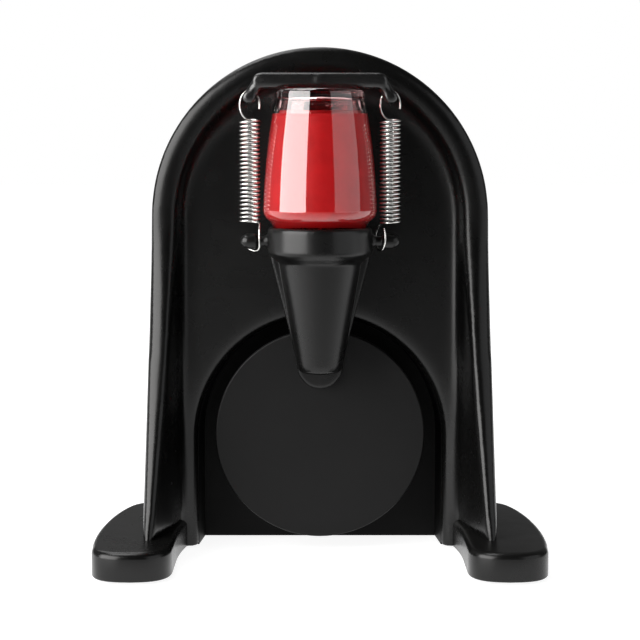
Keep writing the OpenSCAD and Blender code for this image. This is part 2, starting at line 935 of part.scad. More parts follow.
module holder() {
  color("#1a1a1c")
  difference() {
    union() {
      socket_solid();
      between(tongue_y, disc_y)
        tongue_2d();
      // Cheeks that join the socket to the tongue
      between(bottle_y, tongue_y + 0.5)
        polygon([[-socket_top_d / 2, collar_z - collar_h - 3], [socket_top_d / 2, collar_z - collar_h - 3],
          [socket_end_d / 2 - 0.2, socket_z + 1.5], [3, socket_z - 1], [-3, socket_z - 1],
          [-socket_end_d / 2 + 0.2, socket_z + 1.5]]);
      between(bottle_y, tongue_y + 0.5)
        translate([-socket_top_d / 2, collar_z - collar_h - 3.2])
          square([socket_top_d, 4]);
      ear(-1);
      ear(1);
    }
    socket_void();
    for (k = [0, 1])
      rod_y(0, head_screw_z[k], disc_y - head_screw_bite[k] - 0.1, disc_y + 1, head_screw_d);
  }
}

module head_screws() {
  color("#8c8c90")
  for (k = [0, 1])
    screw_y(0, head_screw_z[k], carrier_y + carrier_t, 5.4, head_screw_d,
      carrier_t + disc_t + head_screw_bite[k]);
}

// Points of an arc about a centre
function arc(c, r, a0, a1, n) =
  [for (k = [0 : n]) let (a = a0 + (a1 - a0) * k / n) c + r * [cos(a), sin(a)]];

// Outside of the bottle, base up, as radius and height
module bottle_profile() {
  r = bottle_d / 2;
  b = bottle_base_d / 2;
  polygon(concat([[0, base_z], [b - 1, base_z], [b - 0.3, base_z - 0.3], [b, base_z - 1]],
    arc([r - 4, collar_z + 5.4], 4, 7, -62, 8),
    [[seat_r, collar_z - 0.3], [throat_r, collar_z - seat_drop],
    [7, collar_z - seat_drop - 1.4], [6.4, collar_z - seat_drop - 2.6],
    [6.4, collar_z - 13], [0, collar_z - 13]]));
}

// Inside of the bottle
module bottle_void() {
  r = bottle_d / 2 - glass_t;
  b = bottle_base_d / 2 - glass_t;
  polygon(concat([[0, base_z - glass_base_t], [b - 1.5, base_z - glass_base_t],
    [b - 0.4, base_z - glass_base_t - 0.4], [b, base_z - glass_base_t - 1.5]],
    arc([r - 3, collar_z + 5.6], 3, 7, -60, 6),
    [[seat_r - 2, collar_z + 1.2], [throat_r - 3.2, collar_z - 1.4],
    [4.6, collar_z - 3.6], [4.6, collar_z - 14], [0, collar_z - 14]]));
}

module bottle() {
  color([0.9, 0.9, 0.92, 0.5])
  translate([0, bottle_y, 0])
    rotate_extrude($fn = 96)
      difference() {
        bottle_profile();
        bottle_void();
      }
}

module brush_solid() {
  translate([0, bottle_y, collar_z - neck_in - 1.02]) {
    cylinder(d = brush_d, h = brush_l, $fn = 32);
    translate([0, 0, brush_l])
      cylinder(d = 3.2, h = 9, $fn = 32);
  }
}

module polish() {
  color("#c01020")
  difference() {
    translate([0, bottle_y, 0])
      rotate_extrude($fn = 96)
        intersection() {
          bottle_void();
          translate([0, collar_z - neck_in])
            square([bottle_d, base_z - glass_base_t - air_gap - collar_z + neck_in]);
        }
    brush_solid();
  }
}

module cap() {
  color("#101012")
  translate([0, bottle_y, 0])
    rotate_extrude($fn = 64)
      difference() {
        polygon([[0, socket_z + 4], [5, socket_z + 4], [5.4, socket_z + 4.4],
          [7.8, collar_z - 8], [7.8, collar_z - 6.2], [0, collar_z - 6.2]]);
        polygon([[0, collar_z - 13.02], [6.45, collar_z - 13.02], [6.45, collar_z], [0, collar_z]]);
      }
}

module brush() {
  color("#d8d8d8")
    brush_solid();
}

// ---------- Springs and bail ----------

// Path of a spring: a loop round the ear, the coil and a loop round the bail's stub
function spring_path(side) =
  let (x0 = side * spring_x, a0 = side > 0 ? 180 : 0, s = cos(a0),
    turns = curls + (side > 0 ? 0.75 : 0.25), pitch = curl_pitch * curls / turns,
    low_h = (coil_z0 - loop_low) / 2, low_w = 2.5,
    z1 = coil_z0 + turns * pitch, high_h = (loop_high - z1) / 2, high_w = 3.1,
    steps = 8 * turns)
  concat(
    [for (k = [0 : 9]) let (a = -320 + 32 * k)
      [x0 + cos(a0) * coil_r, bottle_y + s * low_w * sin(a), coil_z0 - low_h + low_h * cos(a)]],
    [for (k = [0 : steps]) let (a = a0 + 360 * k / 8)
      [x0 + coil_r * cos(a), bottle_y + coil_r * sin(a), coil_z0 + pitch * k / 8]],
    [for (k = [1 : 9]) let (a = 33 * k)
      [x0 - high_w * sin(a), bottle_y + coil_r, z1 + high_h - high_h * cos(a)]]);

function unit(v) = v / norm(v);

// Normals carried along a path without twist
function carried(p) =
  let (n = len(p),
    t = [for (k = [0 : n - 1]) unit(p[min(k + 1, n - 1)] - p[max(k - 1, 0)])])
  [for (k = 0, v = unit(cross(t[0], [0.3, 0.2, 1])); k < n;
    k = k + 1, v = k < n ? unit(v - (v * t[k]) * t[k]) : v) [v, cross(t[k], v)]];

// Least gap between stretches of a wire that aren't neighbours
function least_gap(p, apart, d) =
  min([for (i = [0 : len(p) - 1 - apart], j = [i + apart : min(i + 3 * apart, len(p) - 1)])
    norm(p[i] - p[j])]) - d;

module wire(p, d, sides) {
  n = len(p);
  f = carried(p);
  pts = [for (k = [0 : n - 1], j = [0 : sides - 1])
    p[k] + d / 2 * (f[k][0] * cos(360 * j / sides) + f[k][1] * sin(360 * j / sides))];
  skin = [for (k = [0 : n - 2], j = [0 : sides - 1])
    let (a = k * sides + j, b = k * sides + (j + 1) % sides)
      each [[a, b, b + sides], [a, b + sides, a + sides]]];
  ends = [for (j = [1 : sides - 2])
    each [[0, j + 1, j], [(n - 1) * sides, (n - 1) * sides + j, (n - 1) * sides + j + 1]]];
  polyhedron(points = pts, faces = [for (q = concat(skin, ends)) [q[2], q[1], q[0]]]);
}

module spring(side) {
  p = spring_path(side);
  echo(least_gap_in_spring = least_gap(p, 6, wire_d));
  color("#c8cace")
    wire(p, wire_d, 6);
}

module spring_left() {
  spring(-1);
}

module spring_right() {
  spring(1);
}

module bail() {
  x1 = bail_w / 2;
  run = norm([spring_x - x1, stub_z - bail_z]);
  lean = atan((spring_x - x1) / (bail_z - stub_z));
  color("#1a1a1c")
  translate([0, bottle_y, 0]) {
    // Straight bar with rounded edges
    translate([-x1, 0, bail_z])
      rotate([0, 90, 0])
        linear_extrude(bail_w) {
          square([bail_t, bail_t - 1.6], center = true);
          square([bail_t - 1.6, bail_t], center = true);
          for (a = [-1, 1], b = [-1, 1])
            translate([a, b] * (bail_t / 2 - 0.8))
              circle(0.8, $fn = 24);
        }
    for (side = [-1, 1]) {
      rod_y(side * x1, bail_z, -bail_t / 2 + 0.1, bail_t / 2 - 0.1, bail_t - 0.2);
      translate([side * x1, 0, bail_z])
        rotate([0, 180 - side * lean, 0])
          cylinder(d = 3.6, h = run);
      rod_y(side * spring_x, stub_z, -1.8, 1.8, 3.7);
    }
    // Stubs behind the arm ends, where the upper loops hang
    for (side = [-1, 1]) {
      rod_y(side * spring_x, stub_z, 0.5, 5, stub_d);
      rod_y(side * spring_x, stub_z, 4.2, 5, 4.2);
    }
    // Round moulding mark in the middle
    rod_y(0, bail_z, -bail_t / 2 - 0.25, 0, 3);
  }
}

housing();
shell();
drive_frame();
foot_left();
foot_right();
foot_pads();
rear_cover();
cover_screws();
battery_tray();
cells();
contacts();
battery_door();
door_screw();
switch_body();
rocker();
motor();
motor_plate();
plate_screws();
motor_shaft();
pinion();
middle_gear();
gear_pin();
bushes();
crank();
counterweight();
crank_gear();
idler_left();
idler_right();
clip_left();
clip_right();
carrier();
disc();
holder();
head_screws();
bottle();
polish();
cap();
brush();
spring_left();
spring_right();
bail();
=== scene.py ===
import math

import bmesh
import bpy
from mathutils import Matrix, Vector


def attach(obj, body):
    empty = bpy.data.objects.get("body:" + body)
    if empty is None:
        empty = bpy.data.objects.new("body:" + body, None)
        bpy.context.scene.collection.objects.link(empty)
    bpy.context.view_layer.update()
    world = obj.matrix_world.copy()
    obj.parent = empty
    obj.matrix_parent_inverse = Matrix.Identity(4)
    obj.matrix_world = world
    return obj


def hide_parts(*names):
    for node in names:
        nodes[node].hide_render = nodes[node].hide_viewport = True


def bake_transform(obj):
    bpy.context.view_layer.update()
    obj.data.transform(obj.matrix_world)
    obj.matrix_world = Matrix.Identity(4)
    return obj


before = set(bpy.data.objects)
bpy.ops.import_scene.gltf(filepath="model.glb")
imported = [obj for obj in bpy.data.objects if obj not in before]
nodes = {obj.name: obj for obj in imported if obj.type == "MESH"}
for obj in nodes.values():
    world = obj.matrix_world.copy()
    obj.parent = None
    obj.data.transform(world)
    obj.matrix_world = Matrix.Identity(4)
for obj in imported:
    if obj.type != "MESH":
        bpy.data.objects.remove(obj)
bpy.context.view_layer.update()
mm = 0.001
print("frame loaded:", len(nodes), "nodes")

viewSettings = {
    "distance": 0.5985,     # in front of the origin
    "height": 0.137,
    "pitch": 5.8,           # degrees down
    "lens": 105.75,
    "sensor": 36.0,
}


def makeCamera(settings):
    data = bpy.data.cameras.new("photoCamera")
    data.lens = settings["lens"]
    data.sensor_width = settings["sensor"]
    data.clip_start = 0.01
    data.clip_end = 50
    cam = bpy.data.objects.new("photoCamera", data)
    bpy.context.scene.collection.objects.link(cam)
    cam.location = (0, -settings["distance"], settings["height"])
    cam.rotation_euler = (math.radians(90 - settings["pitch"]), 0, 0)
    bpy.context.scene.camera = cam


makeCamera(viewSettings)
bpy.context.scene.view_settings.view_transform = "Standard"
print("camera placed")

lightSettings = {
    # name: place, point aimed at, width, height, watts, colour
    "leftSoftbox": ((-0.66, -0.42, 0.24), (0, 0, 0.10), 0.90, 0.90, 18.0, (1.0, 0.99, 0.98)),
    "rightSoftbox": ((0.68, -0.42, 0.22), (0, 0, 0.10), 0.90, 0.80, 2.1, (0.98, 0.99, 1.0)),
    "topSoftbox": ((-0.26, 0.02, 0.85), (0, 0, 0.08), 0.55, 0.40, 3.4, (1.0, 1.0, 1.0)),
    "rearSoftbox": ((-0.25, 0.75, 0.85), (0, 0, 0.08), 0.60, 0.60, 2.0, (1.0, 1.0, 1.0)),
}

worldSettings = {
    "studio": 0.20,         # light that the room gives from above
    "horizon": 0.36,        # light that it gives near the floor
    "frontGlow": 0.02,      # what mirrors and glass see on the camera's side
    "mirrorGlow": 0.12,     # what mirrors see behind the object
    "turn": 0.18,           # how softly that side gives way to the white one
    "roomSpan": (-0.2, 0.5),    # heights between which the horizon gives way to the studio
}
floorSettings = {
    "size": 8.0,
    "shade": (0.40, 0.40, 0.40, 1),
    "nearGlow": 0.90,       # under the object, where its shadow falls
    "near": 0.12,           # the camera sees white from "far" on
    "far": 0.50,
    "mirrorGlow": 0.90,     # the white floor that mirrors see
    "mirrorEdge": 0.05,     # it fades from here towards the camera
    "mirrorFade": 0.088,
}


def addMath(tree, operation, a, b=None, clamp=False):
    node = tree.nodes.new("ShaderNodeMath")
    node.operation = operation
    node.use_clamp = clamp
    for socket, value in zip(node.inputs, (a, b)):
        if value is None:
            continue
        if isinstance(value, (int, float)):
            socket.default_value = value
        else:
            tree.links.new(value, socket)
    return node.outputs[0]


def addRange(tree, value, low, high, fromLow=0.25, fromHigh=0.75):
    node = tree.nodes.new("ShaderNodeMapRange")
    node.inputs["From Min"].default_value = fromLow
    node.inputs["From Max"].default_value = fromHigh
    node.inputs["To Min"].default_value = low
    node.inputs["To Max"].default_value = high
    tree.links.new(value, node.inputs["Value"])
    return node.outputs[0]


def aim(obj, target):
    obj.rotation_euler = (Vector(target) - obj.location).to_track_quat("-Z", "Y").to_euler()


def makeLights(settings):
    for name, (place, target, width, height, watts, colour) in settings.items():
        data = bpy.data.lights.new(name, "AREA")
        data.shape = "RECTANGLE"
        data.size = width
        data.size_y = height
        data.energy = watts
        data.color = colour
        lamp = bpy.data.objects.new(name, data)
        bpy.context.scene.collection.objects.link(lamp)
        lamp.location = place
        aim(lamp, target)


# The camera sees white all round, and mirrors and glass see white behind the object
def makeWorld(settings):
    world = bpy.data.worlds.new("studioWorld")
    bpy.context.scene.world = world
    world.use_nodes = True
    tree = world.node_tree
    tree.nodes.clear()
    link = tree.links.new
    out = tree.nodes.new("ShaderNodeOutputWorld")
    paths = tree.nodes.new("ShaderNodeLightPath")
    coords = tree.nodes.new("ShaderNodeTexCoord")
    split = tree.nodes.new("ShaderNodeSeparateXYZ")
    link(coords.outputs["Generated"], split.inputs[0])
    low, high = settings["roomSpan"]
    room = addRange(tree, split.outputs["Z"], settings["horizon"], settings["studio"], low, high)
    turn = settings["turn"]
    behind = addRange(tree, split.outputs["Y"], settings["frontGlow"], 1.0, -turn, turn)
    glossy, through = paths.outputs["Is Glossy Ray"], paths.outputs["Is Transmission Ray"]
    dimmed = addMath(tree, "MULTIPLY", glossy, settings["mirrorGlow"])
    mirrored = addMath(tree, "MAXIMUM", dimmed, through)
    plain = addMath(tree, "SUBTRACT", 1.0, addMath(tree, "MAXIMUM", glossy, through))
    lit = addMath(tree, "ADD", addMath(tree, "MULTIPLY", behind, mirrored),
        addMath(tree, "MULTIPLY", room, plain))
    strength = addMath(tree, "MAXIMUM", paths.outputs["Is Camera Ray"], lit)
    light = tree.nodes.new("ShaderNodeBackground")
    light.inputs["Color"].default_value = (1, 1, 1, 1)
    link(strength, light.inputs["Strength"])
    link(light.outputs[0], out.inputs["Surface"])


# Pale floor that is white to the camera away from the object, and keeps its shadow near it
def makeFloor(settings):
    mesh = bpy.data.meshes.new("floor")
    r = settings["size"] / 2
    mesh.from_pydata([(-r, -r, 0), (r, -r, 0), (r, r, 0), (-r, r, 0)], [], [(0, 1, 2, 3)])
    floor = bpy.data.objects.new("floor", mesh)
    bpy.context.scene.collection.objects.link(floor)
    mat = bpy.data.materials.new("paleFloor")
    mat.use_nodes = True
    tree = mat.node_tree
    tree.nodes.clear()
    link = tree.links.new
    out = tree.nodes.new("ShaderNodeOutputMaterial")
    diffuse = tree.nodes.new("ShaderNodeBsdfDiffuse")
    diffuse.inputs["Color"].default_value = settings["shade"]
    glow = tree.nodes.new("ShaderNodeEmission")
    paths = tree.nodes.new("ShaderNodeLightPath")
    coords = tree.nodes.new("ShaderNodeTexCoord")
    reach = tree.nodes.new("ShaderNodeVectorMath")
    reach.operation = "LENGTH"
    split = tree.nodes.new("ShaderNodeSeparateXYZ")
    link(coords.outputs["Object"], reach.inputs[0])
    link(coords.outputs["Object"], split.inputs[0])
    seen = addRange(tree, reach.outputs["Value"], settings["nearGlow"], 1.0,
        settings["near"], settings["far"])
    front = addMath(tree, "MULTIPLY", split.outputs["Y"], -1.0)
    ahead = addMath(tree, "MAXIMUM", addMath(tree, "SUBTRACT", front, settings["mirrorEdge"]), 0.0)
    fade = addMath(tree, "POWER", addMath(tree, "DIVIDE", ahead, settings["mirrorFade"]), 2.0)
    mirrored = addMath(tree, "DIVIDE", settings["mirrorGlow"], addMath(tree, "ADD", fade, 1.0))
    both = addMath(tree, "MAXIMUM", paths.outputs["Is Glossy Ray"],
        paths.outputs["Is Transmission Ray"])
    strength = addMath(tree, "ADD", addMath(tree, "MULTIPLY", paths.outputs["Is Camera Ray"], seen),
        addMath(tree, "MULTIPLY", both, mirrored))
    link(strength, glow.inputs["Strength"])
    add = tree.nodes.new("ShaderNodeAddShader")
    link(diffuse.outputs[0], add.inputs[0])
    link(glow.outputs[0], add.inputs[1])
    link(add.outputs[0], out.inputs["Surface"])
    mesh.materials.append(mat)


makeLights(lightSettings)
makeWorld(worldSettings)
makeFloor(floorSettings)
print("studio ready")

def newGroup(name, inputs, outputs):
    tree = bpy.data.node_groups.new(name, "ShaderNodeTree")
    for label, kind, value in inputs:
        sock = tree.interface.new_socket(name=label, in_out="INPUT", socket_type=kind)
        if value is not None:
            sock.default_value = value
    for label, kind in outputs:
        tree.interface.new_socket(name=label, in_out="OUTPUT", socket_type=kind)
    start = tree.nodes.new("NodeGroupInput")
    end = tree.nodes.new("NodeGroupOutput")
    return tree, start, end


def addNoise(tree, vector, scale, detail=2.0, rough=0.5):
    node = tree.nodes.new("ShaderNodeTexNoise")
    node.inputs["Detail"].default_value = detail
    node.inputs["Roughness"].default_value = rough
    tree.links.new(vector, node.inputs["Vector"])
    if isinstance(scale, (int, float)):
        node.inputs["Scale"].default_value = scale
    else:
        tree.links.new(scale, node.inputs["Scale"])
    return node.outputs[0]


# Fine moulded grain with soft flow patches, as on a plastic housing
def makeMouldedGrain():
    tree, start, end = newGroup("mouldedGrain",
        [("Vector", "NodeSocketVector", None), ("Grain Scale", "NodeSocketFloat", 1800.0),
         ("Patch Scale", "NodeSocketFloat", 22.0)],
        [("Height", "NodeSocketFloat"), ("Tone", "NodeSocketFloat"), ("Gloss", "NodeSocketFloat")])
    v = start.outputs["Vector"]
    fine = addNoise(tree, v, start.outputs["Grain Scale"], 3.0, 0.6)
    pits = tree.nodes.new("ShaderNodeTexVoronoi")
    pits.feature = "SMOOTH_F1"
    tree.links.new(v, pits.inputs["Vector"])
    tree.links.new(start.outputs["Grain Scale"], pits.inputs["Scale"])
    height = addMath(tree, "ADD", addMath(tree, "MULTIPLY", fine, 0.6),
        addMath(tree, "MULTIPLY", pits.outputs["Distance"], 0.4))
    patch = addNoise(tree, v, start.outputs["Patch Scale"], 4.0, 0.55)
    smearSize = addMath(tree, "MULTIPLY", start.outputs["Patch Scale"], 5.0)
    smear = addNoise(tree, v, smearSize, 3.0, 0.6)
    tree.links.new(height, end.inputs["Height"])
    tree.links.new(patch, end.inputs["Tone"])
    tree.links.new(addMath(tree, "ADD", addMath(tree, "MULTIPLY", smear, 0.5),
        addMath(tree, "MULTIPLY", patch, 0.5)), end.inputs["Gloss"])
    return tree


dustSettings = {
    "tone": (0.060, 0.058, 0.055),
    "dulls": 0.6,           # what a full film adds to the roughness
    "cloudSize": 55.0,
    "speckSize": 900.0,
    "speckLevel": 0.66,
}


# Dust and dull film on faces that look up, broken up by noise
def makeDustFilm(s):
    tree, start, end = newGroup("dustFilm",
        [("Vector", "NodeSocketVector", None), ("Normal", "NodeSocketVector", None),
         ("Spread", "NodeSocketFloat", 0.5)],
        [("Mask", "NodeSocketFloat")])
    split = tree.nodes.new("ShaderNodeSeparateXYZ")
    tree.links.new(start.outputs["Normal"], split.inputs[0])
    up = addMath(tree, "POWER", addMath(tree, "MAXIMUM", split.outputs["Z"], 0.0), 2.0)
    cloud = addNoise(tree, start.outputs["Vector"], s["cloudSize"], 5.0, 0.65)
    specks = addNoise(tree, start.outputs["Vector"], s["speckSize"], 2.0, 0.5)
    speck = addMath(tree, "GREATER_THAN", specks, s["speckLevel"])
    film = addMath(tree, "ADD", addMath(tree, "MULTIPLY", cloud, 0.8),
        addMath(tree, "MULTIPLY", speck, 0.3))
    tree.links.new(addMath(tree, "MULTIPLY", addMath(tree, "MULTIPLY", film, up),
        start.outputs["Spread"], clamp=True), end.inputs["Mask"])
    return tree


# Drawing lines and small scuffs along one axis, as on turned or drawn metal
def makeDrawnLines():
    tree, start, end = newGroup("drawnLines",
        [("Vector", "NodeSocketVector", None), ("Along", "NodeSocketVector", (1.0, 40.0, 1.0)),
         ("Scale", "NodeSocketFloat", 300.0)],
        [("Height", "NodeSocketFloat"), ("Gloss", "NodeSocketFloat")])
    stretch = tree.nodes.new("ShaderNodeVectorMath")
    stretch.operation = "MULTIPLY"
    tree.links.new(start.outputs["Vector"], stretch.inputs[0])
    tree.links.new(start.outputs["Along"], stretch.inputs[1])
    lines = addNoise(tree, stretch.outputs[0], start.outputs["Scale"], 3.0, 0.6)
    scuffs = addNoise(tree, start.outputs["Vector"], start.outputs["Scale"], 4.0, 0.6)
    tree.links.new(lines, end.inputs["Height"])
    tree.links.new(addMath(tree, "ADD", addMath(tree, "MULTIPLY", lines, 0.5),
        addMath(tree, "MULTIPLY", scuffs, 0.5)), end.inputs["Gloss"])
    return tree


mouldedGrain = makeMouldedGrain()
dustFilm = makeDustFilm(dustSettings)
drawnLines = makeDrawnLines()
print("shader groups built")

def newMaterial(name):
    mat = bpy.data.materials.new(name)
    mat.use_nodes = True
    tree = mat.node_tree
    tree.nodes.clear()
    out = tree.nodes.new("ShaderNodeOutputMaterial")
    bsdf = tree.nodes.new("ShaderNodeBsdfPrincipled")
    tree.links.new(bsdf.outputs[0], out.inputs["Surface"])
    coords = tree.nodes.new("ShaderNodeTexCoord")
    return mat, tree, bsdf, coords.outputs["Object"]


def addGroup(tree, group, vector, **values):
    node = tree.nodes.new("ShaderNodeGroup")
    node.node_tree = group
    tree.links.new(vector, node.inputs["Vector"])
    for label, value in values.items():
        node.inputs[label].default_value = value
    return node


def addMix(tree, factor, a, b):
    node = tree.nodes.new("ShaderNodeMix")
    node.data_type = "RGBA"
    tree.links.new(factor, node.inputs["Factor"])
    for socket, value in ((node.inputs[6], a), (node.inputs[7], b)):
        if isinstance(value, tuple):
            socket.default_value = (*value, 1)
        else:
            tree.links.new(value, socket)
    return node.outputs[2]


def addBump(tree, height, strength, distance):
    node = tree.nodes.new("ShaderNodeBump")
    node.inputs["Strength"].default_value = strength
    node.inputs["Distance"].default_value = distance
    tree.links.new(height, node.inputs["Height"])
    return node.outputs["Normal"]


plasticSettings = {
    # name: dark tone, light tone,
    #   roughness low and high, grain size, bump, dust, specular
    "housingPlastic": ((0.0016, 0.0016, 0.0016), (0.0030, 0.0030, 0.0029),
        0.22, 0.32, 1500.0, 0.07, 0.10, 0.34),
    "coverPlastic": ((0.0030, 0.0030, 0.0031), (0.0052, 0.0052, 0.0053),
        0.38, 0.50, 1100.0, 0.25, 0.08, 0.42),
    "doorPlastic": ((0.0034, 0.0034, 0.0035), (0.0056, 0.0056, 0.0057),
        0.40, 0.52, 1100.0, 0.25, 0.08, 0.42),
    "discPlastic": ((0.0040, 0.0040, 0.0041), (0.0062, 0.0062, 0.0062),
        0.40, 0.50, 1300.0, 0.12, 0.04, 0.20),
    # the niche's back wall gets a darker tone than the housing: painted shade for the niche, which
    # lies in shadow
    "nicheShadePlastic": ((0.0012, 0.0012, 0.0012), (0.0022, 0.0022, 0.0022),
        0.45, 0.55, 1300.0, 0.10, 0.04, 0.12),
    "holderPlastic": ((0.0018, 0.0018, 0.0018), (0.0034, 0.0034, 0.0034),
        0.24, 0.34, 1600.0, 0.09, 0.06, 0.37),
    "bailPlastic": ((0.0024, 0.0024, 0.0024), (0.0044, 0.0044, 0.0044),
        0.22, 0.30, 1700.0, 0.10, 0.05, 0.80),
    "trayPlastic": ((0.0050, 0.0050, 0.0052), (0.0090, 0.0090, 0.0091),
        0.48, 0.60, 1200.0, 0.20, 0.02, 0.42),
    "capPlastic": ((0.0024, 0.0024, 0.0025), (0.0044, 0.0044, 0.0044),
        0.20, 0.32, 1700.0, 0.08, 0.02, 0.50),
    "rubberPad": ((0.0080, 0.0080, 0.0080), (0.0140, 0.0138, 0.0135),
        0.70, 0.86, 900.0, 0.45, 0.12, 0.35),
    "gearPlastic": ((0.6200, 0.5900, 0.5200), (0.7200, 0.7000, 0.6400),
        0.34, 0.46, 1400.0, 0.10, 0.04, 0.45),
    "rockerPlastic": ((0.2600, 0.0100, 0.0120), (0.3600, 0.0160, 0.0180),
        0.26, 0.38, 1500.0, 0.08, 0.04, 0.48),
}

metalSettings = {
    # name: dull tone, bright tone,
    #   roughness low and high, line stretch, scale, bump
    "springSteel": ((0.62, 0.61, 0.59), (0.88, 0.87, 0.85),
        0.14, 0.28, (1.0, 1.0, 6.0), 900.0, 0.05),
    "shaftSteel": ((0.42, 0.42, 0.42), (0.64, 0.64, 0.63),
        0.22, 0.36, (6.0, 1.0, 6.0), 500.0, 0.08),
    "screwSteel": ((0.38, 0.38, 0.38), (0.58, 0.58, 0.57),
        0.26, 0.42, (5.0, 1.0, 5.0), 500.0, 0.10),
    "plateSteel": ((0.46, 0.46, 0.45), (0.62, 0.62, 0.60),
        0.30, 0.44, (30.0, 1.0, 1.0), 160.0, 0.10),
    "motorSteel": ((0.44, 0.44, 0.43), (0.60, 0.60, 0.58),
        0.28, 0.40, (1.0, 24.0, 1.0), 160.0, 0.06),
    "contactSteel": ((0.60, 0.59, 0.56), (0.80, 0.79, 0.76),
        0.18, 0.30, (1.0, 1.0, 8.0), 400.0, 0.06),
    "bushBronze": ((0.30, 0.18, 0.08), (0.46, 0.29, 0.13),
        0.34, 0.48, (1.0, 1.0, 1.0), 700.0, 0.12),
    "pinionBrass": ((0.52, 0.36, 0.12), (0.72, 0.53, 0.22),
        0.22, 0.36, (1.0, 14.0, 1.0), 260.0, 0.08),
}


def makePlastic(name, settings):
    dark, light, low, high, grainScale, bump, dust, specular = settings
    mat, tree, bsdf, place = newMaterial(name)
    grain = addGroup(tree, mouldedGrain, place)
    grain.inputs["Grain Scale"].default_value = grainScale
    film = addGroup(tree, dustFilm, place, Spread=dust)
    geo = tree.nodes.new("ShaderNodeNewGeometry")
    tree.links.new(geo.outputs["Normal"], film.inputs["Normal"])
    tone = addMix(tree, addRange(tree, grain.outputs["Tone"], 0, 1), dark, light)
    dusty = addMix(tree, film.outputs["Mask"], tone, dustSettings["tone"])
    tree.links.new(dusty, bsdf.inputs["Base Color"])
    rough = addRange(tree, grain.outputs["Gloss"], low, high)
    dull = addMath(tree, "MULTIPLY", film.outputs["Mask"], dustSettings["dulls"])
    tree.links.new(addMath(tree, "ADD", rough, dull, True), bsdf.inputs["Roughness"])
    tree.links.new(addBump(tree, grain.outputs["Height"], bump, 0.12 * mm), bsdf.inputs["Normal"])
    bsdf.inputs["Specular IOR Level"].default_value = specular
    return mat


def makeMetal(name, settings):
    dull, bright, low, high, along, scale, bump = settings
    mat, tree, bsdf, place = newMaterial(name)
    lines = addGroup(tree, drawnLines, place, Along=along, Scale=scale)
    gloss = lines.outputs["Gloss"]
    tone = addMix(tree, addRange(tree, gloss, 0, 1, 0.35, 0.65), dull, bright)
    tree.links.new(tone, bsdf.inputs["Base Color"])
    tree.links.new(addRange(tree, gloss, high, low, 0.3, 0.7), bsdf.inputs["Roughness"])
    tree.links.new(addBump(tree, lines.outputs["Height"], bump, 0.08 * mm), bsdf.inputs["Normal"])
    bsdf.inputs["Metallic"].default_value = 1.0
    return mat


glassSettings = {
    "tint": (0.84, 0.50, 0.50),
    "ior": 1.5,
    "coatIor": 1.55,
    "coatRoughness": 0.02,
    "wave": 0.05,           # strength of the slow waves in the surface
    "waveSize": 70.0,
    "markSize": 240.0,
}
polishSettings = {
    "deep": (0.61, 0.0062, 0.0095),
    "bright": (0.80, 0.0165, 0.0230),
    "fleck": (0.85, 0.06, 0.06),
    "fleckSize": 2600.0,
    "swirlSize": 90.0,
}
cellSettings = {
    "sleeve": (0.030, 0.030, 0.034),
    "band": (0.42, 0.23, 0.08),
    "worn": (0.5, 0.5, 0.5),
    "bandFrom": 0.0135,
    "wearSize": 300.0,
}


def makeGlass(name, settings):
    mat, tree, bsdf, place = newMaterial(name)
    wave = addNoise(tree, place, settings["waveSize"], 2.0, 0.5)
    marks = addNoise(tree, place, settings["markSize"], 4.0, 0.6)
    tree.links.new(addRange(tree, marks, 0.0, 0.05, 0.45, 0.75), bsdf.inputs["Roughness"])
    tree.links.new(addBump(tree, wave, settings["wave"], 0.6 * mm), bsdf.inputs["Normal"])
    bsdf.inputs["Base Color"].default_value = (*settings["tint"], 1)
    bsdf.inputs["Transmission Weight"].default_value = 1.0
    bsdf.inputs["IOR"].default_value = settings["ior"]
    bsdf.inputs["Coat Weight"].default_value = 1.0
    bsdf.inputs["Coat Roughness"].default_value = settings["coatRoughness"]
    bsdf.inputs["Coat IOR"].default_value = settings["coatIor"]
    return mat


def makePolish(name, settings):
    mat, tree, bsdf, place = newMaterial(name)
    flecks = addNoise(tree, place, settings["fleckSize"], 2.0, 0.5)
    swirl = addNoise(tree, place, settings["swirlSize"], 4.0, 0.6)
    tone = addMix(tree, addRange(tree, swirl, 0, 1, 0.3, 0.7), settings["deep"], settings["bright"])
    shine = addMix(tree, addRange(tree, flecks, 0, 0.35, 0.6, 0.8), tone, settings["fleck"])
    tree.links.new(shine, bsdf.inputs["Base Color"])
    tree.links.new(addRange(tree, flecks, 0.35, 0.5), bsdf.inputs["Roughness"])
    return mat


def makeCellSleeve(name, settings):
    mat, tree, bsdf, place = newMaterial(name)
    split = tree.nodes.new("ShaderNodeSeparateXYZ")
    tree.links.new(place, split.inputs[0])
    band = addMath(tree, "GREATER_THAN", split.outputs["X"], settings["bandFrom"])
    wear = addNoise(tree, place, settings["wearSize"], 3.0, 0.6)
    tone = addMix(tree, band, settings["sleeve"], settings["band"])
    scuffed = addMix(tree, addRange(tree, wear, 0, 0.15, 0.6, 0.8), tone, settings["worn"])
    tree.links.new(scuffed, bsdf.inputs["Base Color"])
    tree.links.new(addRange(tree, wear, 0.25, 0.4), bsdf.inputs["Roughness"])
    return mat


materials = {name: makePlastic(name, values) for name, values in plasticSettings.items()}
materials.update({name: makeMetal(name, values) for name, values in metalSettings.items()})
materials["bottleGlass"] = makeGlass("bottleGlass", glassSettings)
materials["redPolish"] = makePolish("redPolish", polishSettings)
materials["cellSleeve"] = makeCellSleeve("cellSleeve", cellSettings)
print("materials made:", len(materials))

